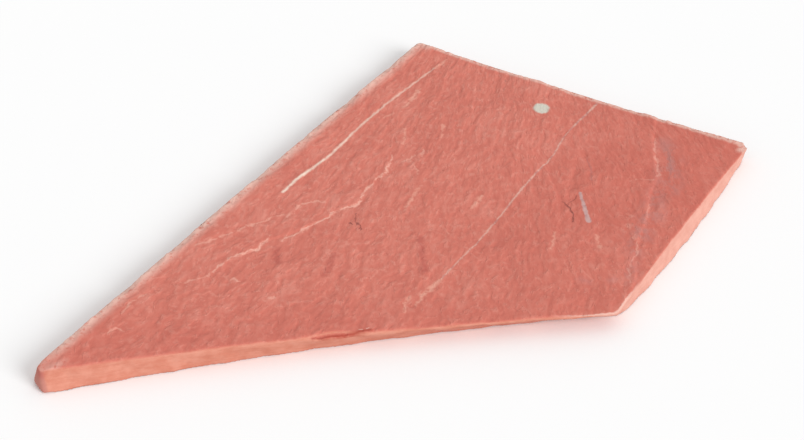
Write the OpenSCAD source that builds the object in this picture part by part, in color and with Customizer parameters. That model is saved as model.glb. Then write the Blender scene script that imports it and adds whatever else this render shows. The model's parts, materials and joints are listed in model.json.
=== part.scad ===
// Slate flagstone: one irregular slab of red slate, split along its cleavage and broken to
// shape by hand. It lies on its bed, with the riven face up. Millimetres, +Z up, and the
// origin is at the middle of the bed.

/* [Outline] */
// Length along X, from the tip to the right corner
slab_l = 702; // [600:1:860]
// Width along Y, from the tip to the back corner
slab_w = 558; // [480:1:680]
// Distance of the back corner from the tip, along X
back_x = 353; // [290:1:420]
// Distance of the right corner from the tip, along Y
right_y = 360; // [290:1:420]
// Distance of the front corner from the tip, along X
front_x = 537; // [450:1:570]
// Distance of the front corner from the tip, along Y
front_y = 83; // [40:1:130]
// Length of the blunt end at the tip
tip_end = 10; // [8:1:30]
// Angle of the blunt end at the tip, to the X axis
tip_skew = 58; // [10:1:70]
// Length of the blunt end at the right corner
right_end = 10; // [8:1:30]
// Rounding of the front and the back corner
corner_r = 7; // [4:1:20]
// How far the front edge bows in at its middle
front_bow = 9; // [0:0.5:20]
// How far the right edge bows in at its middle
right_bow = 3; // [0:0.5:10]
// How far the back edge bows in at its middle
back_bow = 4; // [0:0.5:14]
// How far the left edge bows out at its middle
left_bow = 2; // [0:0.5:12]

/* [Thickness] */
// Thickness at the tip
slab_t = 24; // [18:0.5:40]
// Thickness lost from the tip to the right corner
taper_l = 4; // [0:0.5:7]
// Thickness lost from the front to the back
taper_w = 1; // [0:0.5:4]

/* [Broken edges] */
// Spread of the bed beyond the tip
tip_spread = 5.5; // [0:0.5:8]
// Undercut of the bed on the front edge beside the front corner, where the underside has spalled
front_cut = 23; // [4:0.5:28]
// Undercut of the bed on the right edge, past that spall
spall_cut = 7; // [2:0.5:12]
// How far the spall runs round the front corner, along the right edge
spall_l = 40; // [20:1:80]
// Undercut of the bed at the right corner
right_cut = 4; // [0:0.5:5]
// Undercut of the bed at the back corner
back_cut = 6; // [0:0.5:16]
// Undercut of the bed at the middle of the front edge
front_mid_cut = 9.5; // [0:0.5:16]
// Spread of the bed beyond the middle of the right edge
right_mid_spread = 5; // [0:0.5:9]
// Undercut of the bed at the middle of the back and the left edge
rear_mid_cut = 5; // [0:0.5:12]
// Width of the chamfer worn along the top arris
arris = 1.5; // [0.8:0.1:3]
// Depth of the hackles on the broken edges
hackle = 1; // [0.2:0.1:2]
// Distance from one hackle to the next
hackle_pitch = 64; // [50:1:120]

/* [Riven face] */
// Height of the long swells of the riven face
swell_h = 0.8; // [0:0.1:2]
// Distance from one long swell to the next
swell_pitch = 210; // [140:5:400]
// Direction in which the cleavage grain runs, from the X axis
grain_dir = 58; // [0:1:90]
// Depth of the lamina lost beside the right edge
ledge_drop = 1.2; // [0.6:0.1:2.5]
// Where that ledge starts on the back edge, from the right corner
ledge_back = 104; // [70:1:160]
// Where that ledge ends on the right edge, from the front corner
ledge_front = 34; // [25:1:70]
// How far that ledge strays to each side of its line
ledge_stray = 6; // [0:0.5:9]
// Depth of the scallop below the ledge along the left edge, at its deepest
scallop_drop = 1; // [0.5:0.1:2]
// Where that ledge starts, from the tip
scallop_from = 120; // [110:1:200]
// Length of that ledge
scallop_l = 370; // [200:1:400]
// Distance of that ledge from the left edge, at its start
scallop_start_in = 16; // [10:1:60]
// Distance of that ledge from the left edge, at its middle
scallop_mid_in = 89; // [60:1:120]
// Distance of that ledge from the left edge, at its end
scallop_end_in = 84; // [50:1:120]
// Width over which the scallop runs out
scallop_w = 110; // [60:1:150]
// How far that ledge strays to each side of its line
scallop_stray = 14; // [0:0.5:16]
// Where the flake lost from the front arris starts, from the tip
flake_from = 236; // [150:1:300]
// Length of that flake
flake_l = 66; // [40:1:100]
// Width of that flake
flake_w = 6; // [3:0.5:10]
// Depth of that flake
flake_d = 3; // [1.5:0.5:6]
// Length of the largest flake lost from the left arris
left_flake_l = 50; // [30:1:70]
// Width of that flake
left_flake_w = 8; // [4:0.5:12]
// Depth of that flake at the edge
left_flake_d = 2.5; // [1:0.5:5]

/* [Hidden] */

// Sections from the tip to the waist, round the waist corners, and on to the right corner
LONG_STEPS = 44;
CORNER_STEPS = 4;
SHORT_STEPS = 26;
// Points across the riven face in each section
FACE_STEPS = 20;
// The broken edge from the bed up: share of the height, and share of the undercut
EDGE_PROFILE = [[0, 1], [0.22, 0.8], [0.5, 0.44], [0.78, 0.1]];
// Waves that add up to the swells: share of the height, waves along the grain and across it in one pitch
SWELL_WAVES = [[0.6, 0, 1], [0.4, 1, 0.5]];
// Waves that add up to the hackles: share of the depth, waves in one pitch, waves over the edge's height
HACKLE_WAVES = [[0.6, 1, 0.5], [0.4, 2.3, -0.7]];
// How the torn lip of a ledge turns: share of the ledge's length, share of its stray
LEDGE_TURNS = [
    [0, -0.6], [0.1, 0], [0.17, -0.9], [0.27, -0.6], [0.42, 0.4], [0.5, 0], [0.63, 1], [0.7, 0.4],
    [0.85, -0.7], [1, -0.6]
];
SCALLOP_TURNS = [
    [0, 0.2], [0.07, 0.4], [0.17, 0.4], [0.27, -0.6], [0.35, -0.5], [0.38, -0.9], [0.45, -0.2], [0.51, 0.1],
    [0.57, 0.4], [0.6, 0.3], [0.65, 1], [0.69, 0.9], [0.72, 0.6], [0.78, 0.6], [0.81, 0.9], [0.86, 0.3],
    [0.93, 0.3], [1, 0]
];
// How far past the slab a cutting shape reaches
CLEAR = 40;
// The flakes lost from the left arris: share of the edge from the tip, share of the largest flake's size
LEFT_FLAKES = [
    [0.06, 0.6], [0.17, 0.9], [0.29, 1], [0.4, 0.5], [0.5, 0.8], [0.63, 0.6], [0.74, 1], [0.88, 0.7]
];
// Share of a left flake's depth that is a step at its lip
LIP_SHARE = 0.25;
// Points along a flake, and across what came away
FLAKE_STEPS = 12;
LOST_STEPS = 6;
// Height above the riven face at which a scallop has run out
RUN_OUT = 0.3;
// The step along an edge over which its direction is taken, which turns gently round a corner
NUDGE = 0.06;

function unit(v) = v / norm(v);
function lerp(a, b, t) = a + (b - a) * t;
function sum(list) = list * [for (v = list) 1];
function left_of(v) = [-v.y, v.x];
function bezier(a, b, c, t) = lerp(lerp(a, b, t), lerp(b, c, t), t);
// A value that passes through a start, a middle and an end value
function through(v, t) = v[0] * (1 - t) * (1 - 2 * t) + v[1] * 4 * t * (1 - t) + v[2] * t * (2 * t - 1);

// Corners, from the tip
tip_front = [tip_end * cos(tip_skew), 0];
tip_back = [0, tip_end * sin(tip_skew)];
front = [front_x, front_y];
right = [slab_l, right_y];
back = [back_x, slab_w];
right_front = right + unit(front - right) * right_end * cos(45);
right_back = right + unit(back - right) * right_end * cos(45);

// The two chains of edges from the tip to the right corner. Each is [corners, how far its two edges
// bow out, side that faces out, undercuts at the start, the middle and the end of its two edges].
FRONT_CHAIN = [
    [tip_front, front, right_front], [-front_bow, -right_bow], -1,
    [[-tip_spread, front_mid_cut, front_cut], [spall_cut, -right_mid_spread, right_cut]]
];
BACK_CHAIN = [
    [tip_back, back, right_back], [left_bow, -back_bow], 1,
    [[-tip_spread, rear_mid_cut, back_cut], [back_cut, rear_mid_cut, right_cut]]
];

function edge(chain, k, t) =
    let (a = chain[0][k], b = chain[0][k + 1])
    lerp(a, b, t) + left_of(unit(b - a)) * chain[2] * chain[1][k] * 4 * t * (1 - t);
function edge_l(chain, k) = norm(chain[0][k + 1] - chain[0][k]);
function corner_share(chain, k) = corner_r / edge_l(chain, k);

// A chain's place at u: 0 at the tip, 1 at its corner, 2 at the right corner
function place(chain, u) =
    let (before = corner_share(chain, 0), after = corner_share(chain, 1))
    u < 1 - before ? edge(chain, 0, u)
    : u > 1 + after ? edge(chain, 1, u - 1)
    : bezier(
        edge(chain, 0, 1 - before), chain[0][1], edge(chain, 1, after),
        (u - 1 + before) / (before + after)
    );

function outward(chain, u) =
    let (along = place(chain, min(2, u + NUDGE)) - place(chain, max(0, u - NUDGE)))
    left_of(unit(along)) * chain[2];

// The second edge starts with what is left of the first one's undercut, which runs out past the corner
function undercut(chain, u) =
    let (
        first = chain[3][0], second = chain[3][1],
        run_out = max(0, 1 - (u - 1) * edge_l(chain, 1) / spall_l)
    )
    u < 1 ? through(first, u) : through(second, u - 1) + (first[2] - second[0]) * pow(run_out, 2);

// The riven face: a plane that falls with the taper, with swells that run along the grain and across it
function swell(p) =
    let (
        along = p * [cos(grain_dir), sin(grain_dir)] / swell_pitch,
        across = p * [-sin(grain_dir), cos(grain_dir)] / swell_pitch
    )
    swell_h * sum([for (w = SWELL_WAVES) w[0] * sin(360 * (along * w[1] + across * w[2]))]);
function face_z(p) = slab_t - taper_l * p.x / slab_l - taper_w * p.y / slab_w + swell(p);

// Hackles stand out and in along an edge, and shift from one height to the next
function hackles(p, height) =
    let (along = (p.x + p.y) / hackle_pitch)
    hackle * sum([for (w = HACKLE_WAVES) w[0] * sin(360 * (along * w[1] + height * w[2]))]);

// A broken edge in section, from the bed up to the foot of the arris
function broken_edge(chain, u) =
    let (p = place(chain, u), out = outward(chain, u), top = face_z(p))
    [
        for (level = EDGE_PROFILE)
            let (q = p + out * (hackles(p, level[0]) - undercut(chain, u) * level[1]))
            [q.x, q.y, level[0] * top],
        [p.x, p.y, top - arris]
    ];

function reversed(list) = [for (i = [len(list) - 1 : -1 : 0]) list[i]];

// One section through the slab: up the front edge, over the riven face, down the back edge
function section(u) =
    let (
        from = place(FRONT_CHAIN, u) - outward(FRONT_CHAIN, u) * arris,
        to = place(BACK_CHAIN, u) - outward(BACK_CHAIN, u) * arris
    )
    concat(
        broken_edge(FRONT_CHAIN, u),
        [
            for (i = [0 : FACE_STEPS])
                let (p = lerp(from, to, i / FACE_STEPS)) [p.x, p.y, face_z(p)]
        ],
        reversed(broken_edge(BACK_CHAIN, u))
    );

waist_from = 1 - corner_share(FRONT_CHAIN, 0);
waist_to = 1 + corner_share(FRONT_CHAIN, 1);
STATIONS = concat(
    [for (i = [0 : LONG_STEPS]) waist_from * i / LONG_STEPS],
    [for (i = [1 : CORNER_STEPS - 1]) lerp(waist_from, waist_to, i / CORNER_STEPS)],
    [for (i = [0 : SHORT_STEPS]) lerp(waist_to, 2, i / SHORT_STEPS)]
);
SECTIONS = [for (u = STATIONS) section(u)];

xs = [for (s = SECTIONS) for (p = s) p.x];
ys = [for (s = SECTIONS) for (p = s) p.y];
bed_middle = [(min(xs) + max(xs)) / 2, (min(ys) + max(ys)) / 2];

function middle_of(list) = [for (k = [0 : 2]) let (v = [for (p = list) p[k]]) (min(v) + max(v)) / 2];

// A closed solid through sections that all have as many points
module loft(sections) {
    n = len(sections[0]);
    last = len(sections) - 1;
    first_hub = n * (last + 1);
    polyhedron(
        points = concat(
            [for (s = sections) for (p = s) p],
            [middle_of(sections[0]), middle_of(sections[last])]
        ),
        faces = concat(
            [
                for (j = [0 : last - 1]) for (i = [0 : n - 1])
                    let (a = j * n + i, b = j * n + (i + 1) % n)
                    each [[a, b, b + n], [a, b + n, a + n]]
            ],
            [for (i = [0 : n - 1]) [first_hub, (i + 1) % n, i]],
            [for (i = [0 : n - 1]) [first_hub + 1, last * n + i, last * n + (i + 1) % n]]
        )
    );
}

// One section of what came away from the riven face, from p to q, with its floor at a depth below
// the face that changes from one end to the other. Sections follow on with q to their right.
function lost_section(p, q, depth_p, depth_q) = concat(
    [
        for (i = [0 : LOST_STEPS])
            let (t = i / LOST_STEPS, w = lerp(p, q, t))
            [w.x, w.y, face_z(w) - lerp(depth_p, depth_q, t)]
    ],
    [[q.x, q.y, slab_t + CLEAR], [p.x, p.y, slab_t + CLEAR]]
);

// The lamina that came away between a ledge and the right corner
module right_ledge() {
    from = front + unit(right - front) * ledge_front;
    to = right + unit(back - right) * ledge_back;
    along = unit(to - from);
    away = -left_of(along);
    reach = away * (right - from) + CLEAR;
    lip = [for (turn = LEDGE_TURNS) lerp(from, to, turn[0]) + away * ledge_stray * turn[1]];
    loft([
        for (p = concat([lip[0] - along * CLEAR], lip, [lip[len(lip) - 1] + along * CLEAR]))
            lost_section(p, p + away * reach, ledge_drop, ledge_drop)
    ]);
}

// The scallop beside the ledge along the left edge: deepest at the middle of the ledge, and running
// out at its ends and away from it
module left_scallop() {
    along = unit(back - tip_back);
    away = -left_of(along);
    distances = [scallop_start_in, scallop_mid_in, scallop_end_in];
    loft([
        for (turn = SCALLOP_TURNS)
            let (
                t = turn[0],
                distance = through(distances, t) + scallop_stray * turn[1],
                p = tip_back + along * (scallop_from + scallop_l * t) + away * distance
            )
            lost_section(p, p + away * scallop_w, lerp(-RUN_OUT, scallop_drop, sin(180 * t)), -RUN_OUT)
    ]);
}

// A flake that came off the first arris of a chain. Its floor falls from its lip to the edge.
module arris_flake(chain, from, l, w, lip_d, edge_d) {
    in = -left_of(unit(chain[0][1] - chain[0][0])) * chain[2];
    fall = (edge_d - lip_d) / w;
    sections = [
        for (i = [0 : FLAKE_STEPS])
            let (
                t = i / FLAKE_STEPS,
                p = edge(chain, 0, (from + l * t) / edge_l(chain, 0)),
                width = w * sin(180 * t)
            )
            lost_section(p + in * width, p - in * CLEAR, lip_d, lip_d + fall * (width + CLEAR))
    ];
    loft(chain[2] < 0 ? sections : reversed(sections));
}

module front_flake() {
    arris_flake(FRONT_CHAIN, flake_from, flake_l, flake_w, flake_d, flake_d);
}

module left_flakes() {
    for (flake = LEFT_FLAKES) {
        edge_d = left_flake_d * flake[1];
        arris_flake(
            BACK_CHAIN, flake[0] * edge_l(BACK_CHAIN, 0),
            left_flake_l * flake[1], left_flake_w * flake[1], edge_d * LIP_SHARE, edge_d
        );
    }
}

module slate_slab() {
    color("#d27c6e")
        translate([-bed_middle.x, -bed_middle.y, 0])
            difference() {
                loft(SECTIONS);
                right_ledge();
                left_scallop();
                front_flake();
                left_flakes();
            }
}

slate_slab();
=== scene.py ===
import json
import math

import bpy
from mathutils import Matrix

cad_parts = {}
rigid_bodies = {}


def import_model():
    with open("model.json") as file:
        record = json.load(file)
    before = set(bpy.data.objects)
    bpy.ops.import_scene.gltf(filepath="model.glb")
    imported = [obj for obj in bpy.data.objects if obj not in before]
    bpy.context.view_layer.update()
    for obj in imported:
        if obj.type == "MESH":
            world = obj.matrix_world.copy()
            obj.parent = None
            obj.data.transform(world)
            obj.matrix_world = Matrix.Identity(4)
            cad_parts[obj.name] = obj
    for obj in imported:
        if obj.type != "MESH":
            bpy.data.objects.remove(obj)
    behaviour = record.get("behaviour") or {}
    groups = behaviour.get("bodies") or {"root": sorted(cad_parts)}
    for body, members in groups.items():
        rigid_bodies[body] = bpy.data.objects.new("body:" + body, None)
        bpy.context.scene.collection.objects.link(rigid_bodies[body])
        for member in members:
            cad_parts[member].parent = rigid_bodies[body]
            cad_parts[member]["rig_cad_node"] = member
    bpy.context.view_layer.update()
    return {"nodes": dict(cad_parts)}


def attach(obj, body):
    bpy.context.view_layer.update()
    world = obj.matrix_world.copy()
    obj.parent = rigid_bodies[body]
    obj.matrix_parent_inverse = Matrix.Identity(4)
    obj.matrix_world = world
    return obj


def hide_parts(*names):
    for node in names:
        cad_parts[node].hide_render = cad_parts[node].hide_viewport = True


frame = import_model()

# The riven slab is one piece of red slate, split along its cleavage and broken to shape by hand.
# Its face shows torn laminae, the streaks of the split, two pale veins and a reduction spot.
# Its broken edges are paler, and it lies loose on its bed.
MM = 0.001
MERGE_GAP = 1e-6
EVEN_FACE = 0.0013
MOST_TRIANGLES = 190000

cad_slab = frame["nodes"]["slate_slab"]
bpy.ops.object.select_all(action="DESELECT")
cad_slab.select_set(True)
bpy.context.view_layer.objects.active = cad_slab
bpy.ops.object.duplicate()
slab = bpy.context.active_object
slab.name = "riven_slab"
slab.parent = None
del slab["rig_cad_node"]

# The copy's loose triangles are merged, and its faces are made even and small enough for the relief
bpy.ops.object.mode_set(mode="EDIT")
bpy.ops.mesh.select_all(action="SELECT")
bpy.ops.mesh.remove_doubles(threshold=MERGE_GAP)
bpy.ops.object.mode_set(mode="OBJECT")
even = slab.modifiers.new("even_faces", "REMESH")
even.mode = "VOXEL"
even.voxel_size = EVEN_FACE
bpy.ops.object.modifier_apply(modifier=even.name)


def add_node(tree, kind, inputs, **settings):
    """A new node, with values or links on its inputs."""
    made = tree.nodes.new(kind)
    for name, value in settings.items():
        setattr(made, name, value)
    for name, value in inputs.items():
        if isinstance(value, bpy.types.NodeSocket):
            tree.links.new(value, made.inputs[name])
        else:
            made.inputs[name].default_value = value
    return made


def calc(tree, operation, *values, clamp=False):
    """One step of arithmetic on values or sockets."""
    step = add_node(tree, "ShaderNodeMath", dict(enumerate(values)), operation=operation, use_clamp=clamp)
    return step.outputs[0]


def product(tree, *values):
    """Values and masks multiplied together."""
    total = values[0]
    for value in values[1:]:
        total = calc(tree, "MULTIPLY", total, value)
    return total


def vector(tree, operation, *values):
    """One step of arithmetic on vectors. Lengths and products come out as numbers."""
    step = add_node(tree, "ShaderNodeVectorMath", dict(enumerate(values)), operation=operation)
    return step.outputs["Value" if operation in ("LENGTH", "DOT_PRODUCT", "DISTANCE") else "Vector"]


def scaled(tree, value, factor):
    """A vector times a number."""
    step = add_node(tree, "ShaderNodeVectorMath", {"Vector": value, "Scale": factor}, operation="SCALE")
    return step.outputs["Vector"]


def ramp(tree, value, low, high, to_low=0.0, to_high=1.0):
    """A smooth rise from one level to another as a value passes from low to high."""
    inputs = {"Value": value, "From Min": low, "From Max": high, "To Min": to_low, "To Max": to_high}
    return add_node(tree, "ShaderNodeMapRange", inputs, interpolation_type="SMOOTHSTEP").outputs["Result"]


def noise(tree, place, size, detail, roughness):
    """The outputs of smooth noise whose swells have a size in plan, or in plan and height."""
    units = vector(tree, "DIVIDE", place, (*size, 1)[:3])
    inputs = {"Vector": units, "Scale": 1.0, "Detail": detail, "Roughness": roughness}
    return add_node(tree, "ShaderNodeTexNoise", inputs, noise_dimensions=f"{len(size)}D").outputs


def cover(tree, place, size, detail=3, roughness=0.6):
    """Smooth noise between 0 and 1, about a half."""
    return noise(tree, place, size, detail, roughness)[0]


def swell(tree, place, size, detail=3, roughness=0.6):
    """Smooth noise that rises and falls about 0."""
    return calc(tree, "SUBTRACT", cover(tree, place, size, detail, roughness), 0.5)


def drift(tree, place, size, detail):
    """Smooth noise that strays about 0 in every direction."""
    stray = noise(tree, place, size, detail, roughness=0.5)["Color"]
    return vector(tree, "SUBTRACT", stray, (0.5, 0.5, 0.5))


# The streaks of the split fan out from a point behind the back corner, in plan, and waver a little
FAN_CENTRE = (150, 600, 0)
FAN_REACH = 600
FAN_WAVER = 12
FAN_WAVER_SIZE = (55, 55)


def fan_place(tree, place):
    """A plan place as its distance across the streaks and along them."""
    stray = scaled(tree, drift(tree, place, FAN_WAVER_SIZE, detail=1), FAN_WAVER)
    from_centre = vector(tree, "SUBTRACT", vector(tree, "ADD", place, stray), FAN_CENTRE)
    parts = add_node(tree, "ShaderNodeSeparateXYZ", {0: from_centre}).outputs
    down = calc(tree, "MULTIPLY", parts["Y"], -1)
    turn = calc(tree, "ARCTAN2", parts["X"], down)
    square = calc(tree, "ADD", calc(tree, "POWER", parts["X"], 2), calc(tree, "POWER", down, 2))
    across = calc(tree, "MULTIPLY", turn, FAN_REACH)
    along = calc(tree, "SQRT", square)
    return add_node(tree, "ShaderNodeCombineXYZ", {"X": across, "Y": along}).outputs[0]


# Laminae are thin sheets that tore off step by step. Each kind has its size across the streaks and along
# them, the number of sheets between the lowest and the highest, and the share of a sheet that is its lip.
BROAD_LAMINAE = {"size": (62, 150), "count": 13, "lip_share": 0.2}
FINE_LAMINAE = {"size": (19, 46), "count": 7, "lip_share": 0.22}
STREAK_SIZE = (6, 24)


def laminae(tree, fan, size, count, lip_share):
    """Torn sheets: their level, their lips, and the hollow at the foot of each lip."""
    sheets = calc(tree, "MULTIPLY", cover(tree, fan, size, detail=4, roughness=0.55), count)
    share = calc(tree, "FRACT", sheets)
    rise = ramp(tree, share, 0, lip_share)
    level = calc(tree, "SUBTRACT", calc(tree, "ADD", calc(tree, "FLOOR", sheets), rise), count / 2)
    lip = calc(tree, "MULTIPLY", rise, ramp(tree, share, 3 * lip_share, lip_share))
    hollow = ramp(tree, share, 1 - 2 * lip_share, 1)
    return {"level": level, "lip": lip, "hollow": hollow}


def riven_pattern(tree, place):
    """The split face at a plan place in mm: broad and fine laminae, and the streaks of the split."""
    fan = fan_place(tree, place)
    return {
        "fan": fan,
        "broad": laminae(tree, fan, **BROAD_LAMINAE),
        "fine": laminae(tree, fan, **FINE_LAMINAE),
        "streak": swell(tree, fan, STREAK_SIZE),
    }


def group_ends(group, inputs, outputs):
    """Names a node group's sockets and gives its inner ends."""
    for name, kind in inputs:
        group.interface.new_socket(name, in_out="INPUT", socket_type=kind)
    for name, kind in outputs:
        group.interface.new_socket(name, in_out="OUTPUT", socket_type=kind)
    return group.nodes.new("NodeGroupInput").outputs, group.nodes.new("NodeGroupOutput").inputs


# The blunt tip and the four edges in plan, in mm, each with the slab on its right
TIP_EDGE = ((-341, -275), (-346.5, -267))
LEFT_EDGE = ((-346.5, -267), (6.5, 282.5))
BACK_EDGE = ((6.5, 282.5), (355.5, 84.5))
RIGHT_EDGE = ((355.5, 84.5), (190.5, -192.5))
FRONT_EDGE = ((190.5, -192.5), (-341, -275))


def from_edge(tree, place, edge):
    """How far a plan place is in from the line of an edge, in mm."""
    (x0, y0), (x1, y1) = edge
    length = math.hypot(x1 - x0, y1 - y0)
    inward = ((y1 - y0) / length, (x0 - x1) / length, 0)
    return vector(tree, "DOT_PRODUCT", vector(tree, "SUBTRACT", place, (x0, y0, 0)), inward)


# How upright a normal is where the face begins and where it is all face, and the most on a broken edge
FACE_LEAN = (0.45, 0.9)
EDGE_LEAN = 0.6
# Relief of the split face, in mm
BROAD_T = 0.3
FINE_T = 0.42
STREAK_H = 1.5
# Chips along the arrises, which are wide within a band along the two far edges and narrow elsewhere
CHIP_SIZE = (9, 9)
CHIP_COVER = (0.38, 0.7)
CHIP_W = 6
NARROW_CHIP_W = 1.5
CHIP_D = 1.6
CHIP_BAND = (20, 12)
# Relief of the broken edges, with faint lines of the bedding, and of the bed
BEDDING_SIZE = (30, 30, 3)
BEDDING_H = 0.2
ROUGH_SIZE = (13, 13, 9)
ROUGH_H = 1.2
BED_SIZE = (35, 35)
BED_H = 0.8
BED_STREAK_H = 0.6
# The tip is worn round over this reach, by this many steps of smoothing
TIP_WEAR = 9
TIP_STEPS = 14

relief = bpy.data.node_groups.new("slab_relief", "GeometryNodeTree")
start, end = group_ends(
    relief, [("Geometry", "NodeSocketGeometry")], [("Geometry", "NodeSocketGeometry")]
)
position = relief.nodes.new("GeometryNodeInputPosition").outputs[0]
normal = relief.nodes.new("GeometryNodeInputNormal").outputs[0]
place = scaled(relief, position, 1 / MM)
lean = add_node(relief, "ShaderNodeSeparateXYZ", {0: normal}).outputs["Z"]
face_up = ramp(relief, lean, *FACE_LEAN)
bed = ramp(relief, lean, *[-limit for limit in FACE_LEAN])
upright = calc(relief, "SUBTRACT", calc(relief, "SUBTRACT", 1, face_up), bed)
is_edge = calc(relief, "LESS_THAN", calc(relief, "ABSOLUTE", lean), EDGE_LEAN)
edges = add_node(
    relief, "GeometryNodeSeparateGeometry", {"Geometry": start[0], "Selection": is_edge}, domain="FACE"
).outputs[0]
to_rim = add_node(relief, "GeometryNodeProximity", {0: edges}, target_element="FACES").outputs["Distance"]
rim_mm = calc(relief, "DIVIDE", to_rim, MM)

pattern = riven_pattern(relief, place)
face_h = calc(relief, "MULTIPLY", pattern["broad"]["level"], BROAD_T)
face_h = calc(relief, "MULTIPLY_ADD", pattern["fine"]["level"], FINE_T, face_h)
face_h = calc(relief, "MULTIPLY_ADD", pattern["streak"], STREAK_H, face_h)
by_far_edge = calc(
    relief, "MAXIMUM",
    ramp(relief, from_edge(relief, place, LEFT_EDGE), *CHIP_BAND),
    ramp(relief, from_edge(relief, place, BACK_EDGE), *CHIP_BAND),
)
widest_chip = calc(relief, "MULTIPLY_ADD", by_far_edge, CHIP_W - NARROW_CHIP_W, NARROW_CHIP_W)
chip_w = product(relief, ramp(relief, cover(relief, place, CHIP_SIZE), *CHIP_COVER), widest_chip)
chip = ramp(relief, calc(relief, "SUBTRACT", chip_w, rim_mm), 0, CHIP_W, 0, CHIP_D)
face_h = calc(relief, "SUBTRACT", face_h, chip)
rough_h = product(relief, swell(relief, place, ROUGH_SIZE, roughness=0.55), ROUGH_H)
edge_h = calc(relief, "MULTIPLY_ADD", swell(relief, place, BEDDING_SIZE), BEDDING_H, rough_h)
bed_h = product(relief, cover(relief, place, BED_SIZE), BED_H)
bed_streak = calc(relief, "ADD", pattern["streak"], 0.5)
bed_h = calc(relief, "MULTIPLY_ADD", bed_streak, BED_STREAK_H, bed_h)
level = calc(relief, "ADD", product(relief, face_h, face_up), product(relief, bed_h, bed))
out = vector(relief, "MULTIPLY", normal, (1, 1, 0))
shift = vector(
    relief, "ADD",
    scaled(relief, out, product(relief, edge_h, upright)),
    add_node(relief, "ShaderNodeCombineXYZ", {"Z": level}).outputs[0],
)
shaped = start[0]
for name, value in (("face_up", face_up), ("bed", bed), ("rim_mm", rim_mm)):
    shaped = add_node(
        relief, "GeometryNodeStoreNamedAttribute", {"Geometry": shaped, "Name": name, "Value": value},
        data_type="FLOAT", domain="POINT",
    ).outputs[0]
shaped = add_node(
    relief, "GeometryNodeSetPosition", {"Geometry": shaped, "Offset": scaled(relief, shift, MM)}
).outputs[0]
worn = ramp(relief, from_edge(relief, place, TIP_EDGE), TIP_WEAR, 0)
rounded = add_node(
    relief, "GeometryNodeBlurAttribute", {"Value": position, "Iterations": TIP_STEPS, "Weight": worn},
    data_type="FLOAT_VECTOR",
).outputs[0]
shaped = add_node(relief, "GeometryNodeSetPosition", {"Geometry": shaped, "Position": rounded}).outputs[0]
relief.links.new(shaped, end[0])

split = slab.modifiers.new("slab_relief", "NODES")
split.node_group = relief
bpy.ops.object.modifier_apply(modifier=split.name)
triangles = sum(len(face.vertices) - 2 for face in slab.data.polygons)
thin = slab.modifiers.new("thinned", "DECIMATE")
thin.ratio = min(1, MOST_TRIANGLES / triangles)
bpy.ops.object.modifier_apply(modifier=thin.name)
bpy.ops.object.shade_smooth()


def srgb(red, green, blue):
    """A colour given in 8-bit steps, as the shader takes it."""
    shares = [level / 255 for level in (red, green, blue)]
    return [s / 12.92 if s < 0.04045 else ((s + 0.055) / 1.055) ** 2.4 for s in shares] + [1]


# The material: red slate with mottled tones, painted shade and highlights on the relief of its face,
# the marks on the face, dusty rims with a painted highlight by the front corner, and paler broken edges
slate = bpy.data.materials.new("riven_red_slate")
slate.use_nodes = True
tree = slate.node_tree
shader = tree.nodes["Principled BSDF"]


def attribute(name):
    """A value that the mesh carries."""
    return add_node(tree, "ShaderNodeAttribute", {}, attribute_name=name).outputs["Fac"]


def tinted(colour, tint, share):
    """A colour with a tint laid over it, by a share of 0 to 1."""
    made = add_node(tree, "ShaderNodeMix", {"Factor": share}, data_type="RGBA")
    # A Mix node's inputs share their names, so its two colours and its result go by number
    for index, value in ((6, colour), (7, tint)):
        if isinstance(value, bpy.types.NodeSocket):
            tree.links.new(value, made.inputs[index])
        else:
            made.inputs[index].default_value = value
    return made.outputs[2]


place = scaled(tree, tree.nodes.new("ShaderNodeTexCoord").outputs["Object"], 1 / MM)
flat_place = vector(tree, "MULTIPLY", place, (1, 1, 0))
pattern = riven_pattern(tree, place)
face_up = attribute("face_up")
rim_mm = attribute("rim_mm")
from_tip = from_edge(tree, place, TIP_EDGE)
from_right = from_edge(tree, place, RIGHT_EDGE)
from_front = from_edge(tree, place, FRONT_EDGE)

# Kinds of mark on the face. A stroke goes through plan points in mm, with its width at each. A mark has a
# soft edge in mm, and is drawn with a pen that wavers much, as torn stone does, or little, as a vein does.
RED_SMEARS = {
    "colour": srgb(172, 80, 72), "strength": 0.65, "soft": 3.5, "pen": "torn",
    "strokes": [
        [(-137, -93, 3), (-133, -117, 4)],
        [(5, -79, 3), (9, -129, 5)],
        [(-78, -106, 2.5), (-87, -136, 3)],
    ],
}
GREY_FILM = {
    "colour": srgb(186, 134, 128), "strength": 0.62, "soft": 10, "pen": "torn",
    "strokes": [
        [(265, 87, 10), (266, 51, 22), (261, 8, 20)],
        [(248, -1, 12), (242, -34, 18), (233, -47, 20), (223, -74, 20), (215, -98, 12)],
        [(210, -118, 8), (207, -139, 8)],
    ],
}
# The pale ledge lines and lumps are painted highlights on small steps where torn laminae end, facing front
# and right.
SMALL_LEDGE_HIGHLIGHTS = {
    "colour": srgb(236, 172, 154), "strength": 0.75, "soft": 1.2, "pen": "torn",
    "strokes": [
        [(-216, -92, 1), (-199, -82, 2), (-179, -70, 1.2), (-164, -58, 2.4), (-152, -52, 1.4),
         (-132, -39, 1)],
        [(-128, -45, 2), (-115, -24, 3), (-99, -17, 2.2), (-91, -22, 1)],
        [(-6, 50, 1), (0, 62, 1.6)],
        [(-277, -195, 0.8), (-273, -185, 2), (-268, -177, 2.4), (-257, -165, 1.6)],
        [(-286, -222, 1.2), (-280, -215, 1.8), (-273, -219, 1)],
        [(-226, -149, 1), (-213, -145, 1.8), (-202, -140, 1)],
        [(-174, -142, 3), (-170, -145, 3)],
        [(-150, -179, 1), (-135, -169, 2)],
        [(7, 59, 1.2), (10, 71, 2)],
        [(-13, 51, 1.2), (-8, 54, 2), (-3, 55, 1.2)],
        [(0, 44, 1), (4, 28, 1.6)],
    ],
}
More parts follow.
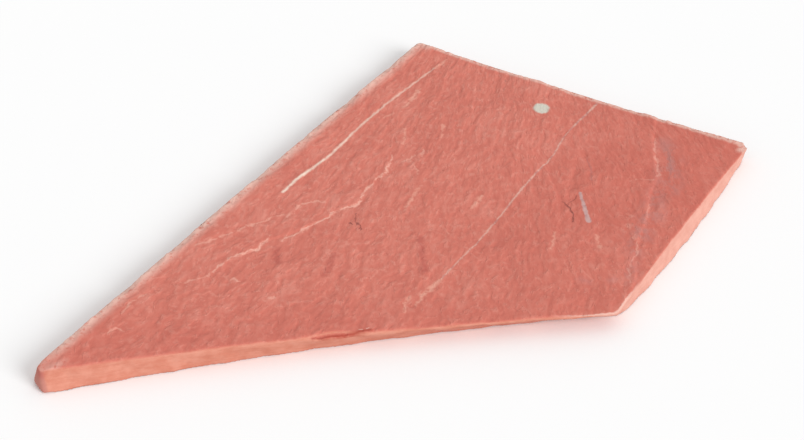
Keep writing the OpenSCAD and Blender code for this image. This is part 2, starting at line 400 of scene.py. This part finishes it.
LEFT_LEDGE_HIGHLIGHT = {
    "colour": srgb(238, 180, 162), "strength": 0.8, "soft": 1, "pen": "torn",
    "strokes": [
        [(-200, -139, 0.8), (-186, -118, 2), (-180, -111, 1.2), (-171, -105, 2.2), (-161, -99, 1.6),
         (-155, -97, 3.4), (-150, -87, 1.8), (-141, -74, 0.8)],
        [(-131, -82, 1.2), (-114, -68, 2.4), (-98, -53, 1.8), (-88, -47, 2.8), (-82, -37, 1.6),
         (-68, -29, 2.6), (-57, -23, 3.2), (-53, -9, 2.4), (-50, 3, 2.6), (-43, 11, 1.4), (-39, 23, 1.6),
         (-29, 30, 3.2), (-27, 46, 1.2), (-24, 55, 2.2), (-24, 62, 1)],
    ],
}
LEDGE_LUMP_HIGHLIGHTS = {
    "colour": srgb(234, 166, 150), "strength": 0.5, "soft": 4, "pen": "torn",
    "strokes": [[(219, -40, 3), (211, -61, 5), (217, -77, 3)]],
}
RIGHT_LEDGE_HIGHLIGHT = {
    "colour": srgb(234, 176, 160), "strength": 0.5, "soft": 1, "pen": "torn",
    "strokes": [
        [(257, 102, 0.6), (253, 71, 1.6), (253, 50, 2), (253, 31, 1.6)],
        [(253, 31, 1.4), (247, 19, 1), (232, 22, 1.2), (223, 19, 0.6)],
        [(238, -20, 0.8), (233, -42, 1.2)],
        [(219, -85, 1.4), (219, -96, 1.6), (211, -115, 1.6), (208, -124, 2), (206, -146, 1)],
    ],
}
GREY_BLOTS = {
    "colour": srgb(186, 134, 130), "strength": 0.45, "soft": 5, "pen": "torn",
    "strokes": [[(160, -141, 4), (166, -144, 4)], [(188, -143, 4), (192, -140, 3)]],
}
PALE_BRUSH = {
    "colour": srgb(236, 170, 150), "strength": 0.8, "soft": 1.8, "pen": "torn",
    "strokes": [
        [(25, -140, 2.5), (17, -152, 4.5), (9, -162, 4), (0, -180, 1)],
        [(-5, -167, 1), (-9, -177, 2.5), (-11, -191, 1)],
        [(-11, 149, 2.5), (-1, 168, 4), (7, 187, 2)],
        [(23, 227, 2), (31, 235, 2.5), (37, 245, 1.5)],
        [(-33, 130, 1), (-23, 139, 2)],
        [(-11, 80, 1), (-10, 108, 2)],
        [(29, 86, 1), (32, 117, 2)],
        [(-11, -34, 1), (-4, -17, 2), (5, 6, 1)],
        [(59, -28, 2), (68, -8, 3)],
        [(139, -68, 1), (134, -96, 2)],
        [(182, -91, 2), (181, -72, 1)],
    ],
}
CREAM_VEIN = {
    "colour": srgb(245, 222, 204), "strength": 1, "soft": 1.2, "pen": "vein",
    "strokes": [
        [(-134, -3, 2.6), (-122, 17, 3.4), (-91, 57, 2.4), (-54, 120, 2), (-15, 178, 2), (12, 213, 1.8),
         (23, 227, 1)],
    ],
}
THIN_VEIN = {
    "dark": srgb(184, 142, 138), "pale": srgb(232, 196, 180), "strength": 0.62, "soft": 0.9, "pen": "vein",
    "strokes": [
        [(199, 159, 2.4), (181, 131, 2), (175, 122, 2.4), (165, 107, 1), (160, 98, 1), (151, 76, 1.6),
         (145, 62, 1.6), (130, 38, 1.8), (112, 8, 1.8), (88, -37, 1.6), (63, -82, 1.4), (25, -140, 1.2)],
    ],
}
GREY_STREAK = {
    "dark": srgb(182, 146, 144), "pale": srgb(206, 172, 168), "strength": 0.85, "soft": 0.8, "pen": "vein",
    "strokes": [[(169, -2, 2.5), (171, -22, 3.6), (174, -50, 5)]],
}
GREY_MARKS = {
    "colour": srgb(178, 118, 114), "strength": 0.5, "soft": 1.2, "pen": "torn",
    "strokes": [
        [(180, 58, 1), (184, 40, 2), (182, 18, 1)],
        [(267, 71, 0.6), (268, 43, 1.4), (262, 22, 0.6)],
    ],
}
CRACKS = {
    "colour": srgb(128, 66, 60), "strength": 0.75, "soft": 0.6, "pen": "torn",
    "strokes": [
        [(-59, -39, 0.5), (-58, -53, 1), (-53, -66, 1.5)],
        [(-65, -54, 2), (-62, -58, 1.2)],
        [(150, -17, 0.8), (155, -24, 1.8), (158, -30, 2.2), (159, -50, 1.2)],
        [(155, -23, 1.2), (166, -7, 0.8)],
    ],
}

# One stretch of a stroke. Place is a plan place, with the mark so far as its third value. Turn is the
# stretch divided by the square of its length, and the widths are halved and counted in soft edges.
stretch = bpy.data.node_groups.new("stroke_stretch", "ShaderNodeTree")
ends, result = group_ends(
    stretch,
    [("Place", "NodeSocketVector"), ("From", "NodeSocketVector"), ("Run", "NodeSocketVector"),
     ("Turn", "NodeSocketVector"), ("Width", "NodeSocketFloat"), ("Change", "NodeSocketFloat"),
     ("Sharpness", "NodeSocketFloat")],
    [("Place", "NodeSocketVector")],
)
off = vector(stretch, "SUBTRACT", vector(stretch, "MULTIPLY", ends["Place"], (1, 1, 0)), ends["From"])
share = calc(stretch, "ADD", vector(stretch, "DOT_PRODUCT", off, ends["Turn"]), 0, clamp=True)
gap = vector(stretch, "DISTANCE", off, scaled(stretch, ends["Run"], share))
reach = calc(stretch, "MULTIPLY_ADD", ends["Change"], share, ends["Width"])
inked = calc(stretch, "SUBTRACT", reach, calc(stretch, "MULTIPLY", gap, ends["Sharpness"]), clamp=True)
parts = add_node(stretch, "ShaderNodeSeparateXYZ", {0: ends["Place"]}).outputs
so_far = calc(stretch, "MAXIMUM", parts["Z"], inked)
joined = add_node(stretch, "ShaderNodeCombineXYZ", {"X": parts["X"], "Y": parts["Y"], "Z": so_far})
stretch.links.new(joined.outputs[0], result["Place"])

# How far each pen wavers, in mm
WAVER_SIZE = (7, 7)
PEN_WAVER = {"torn": 7, "vein": 2.2}
stray = vector(tree, "MULTIPLY", drift(tree, flat_place, WAVER_SIZE, detail=2), (1, 1, 0))
pens = {pen: vector(tree, "ADD", flat_place, scaled(tree, stray, much)) for pen, much in PEN_WAVER.items()}
vein_place = pens["vein"]


def shown(mark, *masks):
    """Where a kind of mark shows, from 0 to its strength. Each stretch is chained to the one before."""
    soft = mark["soft"]
    at = vector(tree, "MULTIPLY", pens[mark["pen"]], (1, 1, 0))
    for points in mark["strokes"]:
        for (x0, y0, w0), (x1, y1, w1) in zip(points, points[1:]):
            run = (x1 - x0, y1 - y0, 0)
            square = run[0] ** 2 + run[1] ** 2
            inputs = {
                "Place": at,
                "From": (x0, y0, 0),
                "Run": run,
                "Turn": [step / square for step in run],
                "Width": (w0 / 2 + soft) / (2 * soft),
                "Change": (w1 - w0) / (4 * soft),
                "Sharpness": 1 / (2 * soft),
            }
            at = add_node(tree, "ShaderNodeGroup", inputs, node_tree=stretch).outputs[0]
    pens[mark["pen"]] = at
    drawn = add_node(tree, "ShaderNodeSeparateXYZ", {0: at}).outputs["Z"]
    return product(tree, drawn, *masks, mark["strength"])


def marked(colour, mark, *masks):
    """A colour with a kind of mark drawn over it, where the masks let it show."""
    return tinted(colour, mark["colour"], shown(mark, *masks))


# Masks that break up what is torn, from a little to a lot
TORN_SIZE = (9, 9)
MOSTLY = (0.3, 0.5)
HALF = (0.36, 0.54)
PARTLY = (0.46, 0.62)
torn_here = cover(tree, place, TORN_SIZE)
mostly = ramp(tree, torn_here, *MOSTLY)
half = ramp(tree, torn_here, *HALF)
partly = ramp(tree, torn_here, *PARTLY)

# The split face: salmon red with blotches of tone, and painted light on its relief.
# Its high streaks, mottles, wrinkles and lips get painted highlights, and its low streaks and hollows get
# painted shade.
DARK_RED_AND_SHADE = srgb(188, 100, 88)
SALMON_RED = srgb(211, 120, 104)
PALE_RED_AND_HIGHLIGHT = srgb(232, 160, 144)
BLOTCH_SIZE = (60, 60)
BLOTCH_TONE = 0.8
STREAK_SHADING = 0.75
MOTTLE_SIZE = (6, 13)
MOTTLE_SHADING = 0.5
WRINKLE_SIZE = (8, 17)
WRINKLE_W = 0.05
WRINKLE_HIGHLIGHT = 0.2
FINE_HOLLOW_SHADE = 0.15
FINE_LIP_HIGHLIGHT = 0.14
BROAD_LIP_HIGHLIGHT = 0.3
mottle = swell(tree, pattern["fan"], MOTTLE_SIZE)
# The tone is partly blotches that vary at random, and partly painted shade and highlight on the streaks
# and mottles.
tone_and_painted_shading = calc(
    tree, "MULTIPLY_ADD", swell(tree, place, BLOTCH_SIZE), BLOTCH_TONE,
    product(tree, pattern["streak"], STREAK_SHADING),
)
tone_and_painted_shading = calc(tree, "MULTIPLY_ADD", mottle, MOTTLE_SHADING, tone_and_painted_shading)
face = tinted(SALMON_RED, DARK_RED_AND_SHADE, calc(tree, "MULTIPLY", tone_and_painted_shading, -1, clamp=True))
face = tinted(face, PALE_RED_AND_HIGHLIGHT, calc(tree, "MULTIPLY", tone_and_painted_shading, 1, clamp=True))
# Painted highlights on the wrinkles and on the fine and broad lips, and painted shade in the fine hollows.
fold = calc(tree, "ABSOLUTE", swell(tree, pattern["fan"], WRINKLE_SIZE, detail=2, roughness=0.5))
wrinkle = product(tree, ramp(tree, fold, WRINKLE_W, 0), partly)
face = tinted(face, PALE_RED_AND_HIGHLIGHT, product(tree, wrinkle, WRINKLE_HIGHLIGHT))
face = tinted(face, DARK_RED_AND_SHADE, product(tree, pattern["fine"]["hollow"], FINE_HOLLOW_SHADE))
face = tinted(face, PALE_RED_AND_HIGHLIGHT, product(tree, pattern["fine"]["lip"], mostly, FINE_LIP_HIGHLIGHT))
face = tinted(face, PALE_RED_AND_HIGHLIGHT, product(tree, pattern["broad"]["lip"], partly, BROAD_LIP_HIGHLIGHT))
bed_colour = face

# The face is a deeper red towards the right edge, less so in front, and along the front edge. Each band
# is how far it reaches in from its edge, how near it is deepest, and its tint at both.
DEEP_RED = srgb(196, 98, 84)
RIGHT_DEEP = (260, 40, 0, 0.42)
RIGHT_DEEP_IN_FRONT = (40, 160, 0.4, 1)
FRONT_DEEP = (90, 20, 0, 0.27)
to_right = product(
    tree, ramp(tree, from_right, *RIGHT_DEEP), ramp(tree, from_front, *RIGHT_DEEP_IN_FRONT)
)
to_front = ramp(tree, from_front, *FRONT_DEEP)
face = tinted(face, DEEP_RED, calc(tree, "MAXIMUM", to_right, to_front))

# The marks, from the broadest to the finest. The cream vein fades towards the back and in places.
FILM_SIZE = (16, 24)
FILM_COVER = (0.38, 0.64)
VEIN_FADE = (20, 200, 0.95, 0.62)
VEIN_PATCH_SIZE = (16, 16)
VEIN_PATCHES = (0.3, 0.5, 0.7, 1)
film_patches = ramp(tree, cover(tree, place, FILM_SIZE, detail=5, roughness=0.7), *FILM_COVER)
vein_fade = ramp(tree, vector(tree, "DOT_PRODUCT", place, (0, 1, 0)), *VEIN_FADE)
vein_patches = ramp(tree, cover(tree, place, VEIN_PATCH_SIZE, detail=2, roughness=0.5), *VEIN_PATCHES)
face = marked(face, RED_SMEARS)
face = marked(face, GREY_FILM, film_patches)
# The ledge lines and lumps are painted highlights on small steps of the face.
face = marked(face, SMALL_LEDGE_HIGHLIGHTS, mostly)
face = marked(face, LEFT_LEDGE_HIGHLIGHT, mostly)
face = marked(face, LEDGE_LUMP_HIGHLIGHTS, partly)
face = marked(face, RIGHT_LEDGE_HIGHLIGHT, mostly)
face = marked(face, GREY_BLOTS)
face = marked(face, PALE_BRUSH, mostly)
face = marked(face, CREAM_VEIN, vein_fade, vein_patches)
face = tinted(face, tinted(THIN_VEIN["dark"], THIN_VEIN["pale"], half), shown(THIN_VEIN))
face = tinted(face, tinted(GREY_STREAK["dark"], GREY_STREAK["pale"], mostly), shown(GREY_STREAK))
face = marked(face, GREY_MARKS)
face = marked(face, CRACKS)

# The pale reduction spot: its place, the halves of its width and length, and its soft edge as a share
SPOT_GREY = srgb(212, 206, 192)
SPOT_AT = (138, 148, 0)
SPOT_SIZE = (8.6, 9.6, 1)
SPOT_TURN = math.radians(14)
SPOT_EDGE = 0.2
from_spot = vector(tree, "SUBTRACT", vein_place, SPOT_AT)
from_spot = add_node(
    tree, "ShaderNodeVectorRotate", {"Vector": from_spot, "Angle": SPOT_TURN}, rotation_type="Z_AXIS"
).outputs[0]
from_spot = vector(tree, "LENGTH", vector(tree, "DIVIDE", from_spot, SPOT_SIZE))
face = tinted(face, SPOT_GREY, ramp(tree, from_spot, 1 + SPOT_EDGE, 1 - SPOT_EDGE))

# The rims: bruised and dusty in a wide band along the left edge, a thinner one along the back edge that
# widens by the right corner, and a thin one on the arris by the front corner, of dust and a painted
# highlight
PALE_DUST_AND_HIGHLIGHT = srgb(236, 196, 182)
BRUISE_SIZE = (6, 6)
LEFT_RIM = 16
LEFT_BAND = (24, 16)
LEFT_BRUISES = (0.24, 0.5)
LEFT_DUST_FROM_TIP = (6, 40, 0.35, 0.95)
BACK_RIM = 8
BACK_BAND = (22, 14)
BACK_BRUISES = (0.25, 0.55)
BACK_FULL_SHARE = 0.4
BACK_DUST = 0.75
RIGHT_CORNER_RIM = 10
RIGHT_CORNER_BAND = (64, 30)
FRONT_CORNER = (*FRONT_EDGE[0], 0)
FRONT_CORNER_RIM = (2.5, 1)
FRONT_CORNER_DUST_AND_HIGHLIGHT = (70, 20, 0, 0.8)
bruised = cover(tree, place, BRUISE_SIZE, detail=4, roughness=0.7)
left_dust = product(
    tree,
    ramp(tree, rim_mm, LEFT_RIM, 0),
    ramp(tree, from_edge(tree, place, LEFT_EDGE), *LEFT_BAND),
    ramp(tree, bruised, *LEFT_BRUISES),
    ramp(tree, from_tip, *LEFT_DUST_FROM_TIP),
)
back_w = ramp(tree, from_right, *RIGHT_CORNER_BAND, BACK_RIM, RIGHT_CORNER_RIM)
back_dust = product(
    tree,
    ramp(tree, rim_mm, back_w, product(tree, back_w, BACK_FULL_SHARE)),
    ramp(tree, from_edge(tree, place, BACK_EDGE), *BACK_BAND),
    ramp(tree, bruised, *BACK_BRUISES),
    BACK_DUST,
)
# The thin pale line on the arris by the front corner is partly dust and partly a painted highlight.
front_corner_dust_and_highlight = product(
    tree,
    ramp(tree, rim_mm, *FRONT_CORNER_RIM),
    ramp(tree, vector(tree, "DISTANCE", flat_place, FRONT_CORNER), *FRONT_CORNER_DUST_AND_HIGHLIGHT),
)
dust_and_highlight = calc(tree, "MAXIMUM", left_dust, calc(tree, "MAXIMUM", back_dust, front_corner_dust_and_highlight))
face = tinted(face, PALE_DUST_AND_HIGHLIGHT, dust_and_highlight)

# The broken edges: paler and more orange, pink and palest on the right, with faint lines of the bedding,
# duller on the blunt end of the tip, and with a red chip at the top of that end
EDGE_ORANGE = srgb(205, 127, 105)
PALE_ORANGE = srgb(218, 147, 126)
EDGE_PINK = srgb(213, 151, 135)
PALE_PINK = srgb(222, 165, 149)
TIP_DULL = srgb(190, 124, 114)
CHIP_RED = srgb(186, 94, 84)
LINE_SIZE = (40, 40, 1.6)
LINE_TONE = 0.4
PATCH_SIZE = (15, 15, 9)
LINE_COVER = (0.5, 0.9)
PINK_BAND = (22, 12)
TIP_DULL_BAND = (4, 1, 0, 0.8)
TIP_CHIP_AT = (-341, -272, 20)
TIP_CHIP_BAND = (8, 2, 0, 0.5)
patches = cover(tree, place, PATCH_SIZE, detail=4)
lines = calc(tree, "MULTIPLY_ADD", cover(tree, place, LINE_SIZE), LINE_TONE, patches)
lines = ramp(tree, lines, *LINE_COVER)
edge = tinted(EDGE_ORANGE, PALE_ORANGE, lines)
edge = tinted(edge, tinted(EDGE_PINK, PALE_PINK, lines), ramp(tree, from_right, *PINK_BAND))
edge = tinted(edge, TIP_DULL, ramp(tree, from_tip, *TIP_DULL_BAND))
edge = tinted(edge, CHIP_RED, ramp(tree, vector(tree, "DISTANCE", place, TIP_CHIP_AT), *TIP_CHIP_BAND))

# The red gash, partly painted shadow under the ledge of the front flake, and its pale specks lie on the
# floor of that flake, above these heights
FLAKE_Z = (16, 18)
RED_GASH_AND_SHADOW = {
    "colour": srgb(170, 66, 50), "strength": 0.85, "soft": 1.2, "pen": "vein",
    "strokes": [[(-96, -226, 0.6), (-74, -222, 3), (-41, -216, 2.2)]],
}
GASH_SPECKS = {
    "colour": srgb(244, 214, 200), "strength": 0.7, "soft": 0.6, "pen": "vein",
    "strokes": [[(-53, -215.5, 0.6), (-50, -215, 0.8)], [(-46, -214.5, 0.8), (-44, -214, 0.6)]],
}
on_flake = ramp(tree, vector(tree, "DOT_PRODUCT", place, (0, 0, 1)), *FLAKE_Z)
for mark in (RED_GASH_AND_SHADOW, GASH_SPECKS):
    on_mark = shown(mark, on_flake)
    edge = tinted(edge, mark["colour"], on_mark)
    face = tinted(face, mark["colour"], on_mark)

# The finish: matt, with a tooth all over and the grain of the split on the face
SLATE_ROUGHNESS = 0.85
SLATE_SHINE = 0.3
TOOTH_SIZE = (1.6, 1.6, 1.6)
TOOTH_H = 0.1
MOTTLE_H = 0.8
WRINKLE_H = 0.3
slab_colour = tinted(tinted(edge, bed_colour, attribute("bed")), face, face_up)
tree.links.new(slab_colour, shader.inputs["Base Color"])
shader.inputs["Roughness"].default_value = SLATE_ROUGHNESS
shader.inputs["Specular IOR Level"].default_value = SLATE_SHINE
grain = calc(tree, "MULTIPLY_ADD", mottle, MOTTLE_H, product(tree, wrinkle, WRINKLE_H))
tooth = swell(tree, place, TOOTH_SIZE, detail=2)
grain = calc(tree, "MULTIPLY_ADD", tooth, TOOTH_H, product(tree, grain, face_up))
bump = add_node(tree, "ShaderNodeBump", {"Height": grain, "Distance": MM})
tree.links.new(bump.outputs[0], shader.inputs["Normal"])
slab.data.materials.clear()
slab.data.materials.append(slate)
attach(slab, "root")
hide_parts("slate_slab")

# The floor is a plain pale sheet that the slab lies on. It takes the slab's soft shadow,
# and is white where it is seen.
FLOOR_SIZE = 30
FLOOR_PALE = 0.85


def seen_rays(tree):
    """1 for rays to the camera, straight, by reflection or through glass, and 0 for the rest."""
    path = tree.nodes.new("ShaderNodeLightPath").outputs
    straight_or_reflected = calc(tree, "ADD", path["Is Camera Ray"], path["Is Glossy Ray"])
    return calc(tree, "ADD", straight_or_reflected, path["Is Transmission Ray"], clamp=True)


def white_if_seen(tree, level):
    """1 for rays that are seen, and a lower level for the rest."""
    inputs = {"Value": seen_rays(tree), "To Min": level, "To Max": 1.0}
    return add_node(tree, "ShaderNodeMapRange", inputs).outputs[0]


bpy.ops.object.select_all(action="DESELECT")
bpy.ops.mesh.primitive_plane_add(size=FLOOR_SIZE)
floor = bpy.context.active_object
floor.name = "floor"
pale = bpy.data.materials.new("pale_floor")
pale.use_nodes = True
tree = pale.node_tree
shader = tree.nodes["Principled BSDF"]
tree.links.new(white_if_seen(tree, FLOOR_PALE), shader.inputs["Base Color"])
shader.inputs["Roughness"].default_value = 1
shader.inputs["Specular IOR Level"].default_value = 0
floor.data.materials.append(pale)

# The light is an even pale room, with one broad soft lamp low on the right in front of the slab.
# The room is white where it is seen.
ROOM_LIGHT = 0.7
LAMP_LIGHT = 1.9
LAMP_AT = (0, 0, 2)
LAMP_HEIGHT = math.radians(28)
LAMP_SIDE = math.radians(48)
LAMP_SPREAD = math.radians(30)
world = bpy.data.worlds.new("pale_room")
bpy.context.scene.world = world
world.use_nodes = True
room = world.node_tree
background = room.nodes["Background"]
background.inputs["Color"].default_value = (1, 1, 1, 1)
room.links.new(white_if_seen(room, ROOM_LIGHT), background.inputs["Strength"])
bpy.ops.object.light_add(type="SUN", location=LAMP_AT, rotation=(math.pi / 2 - LAMP_HEIGHT, 0, LAMP_SIDE))
lamp = bpy.context.active_object
lamp.name = "soft_lamp"
lamp.data.energy = LAMP_LIGHT
lamp.data.angle = LAMP_SPREAD

# The camera stands in front of the slab and looks down on it along +Y, with a long lens.
CAMERA_AIM = (-0.0127, -0.0487, 0.0216)
CAMERA_REACH = 1.9
CAMERA_HEIGHT = math.radians(38)
CAMERA_LENS = 85
SENSOR_W = 36
bpy.ops.object.camera_add(
    location=(
        CAMERA_AIM[0],
        CAMERA_AIM[1] - CAMERA_REACH * math.cos(CAMERA_HEIGHT),
        CAMERA_AIM[2] + CAMERA_REACH * math.sin(CAMERA_HEIGHT),
    ),
    rotation=(math.pi / 2 - CAMERA_HEIGHT, 0, 0),
)
camera = bpy.context.active_object
camera.data.lens = CAMERA_LENS
camera.data.sensor_width = SENSOR_W
bpy.context.scene.camera = camera
bpy.context.scene.view_settings.view_transform = "Standard"
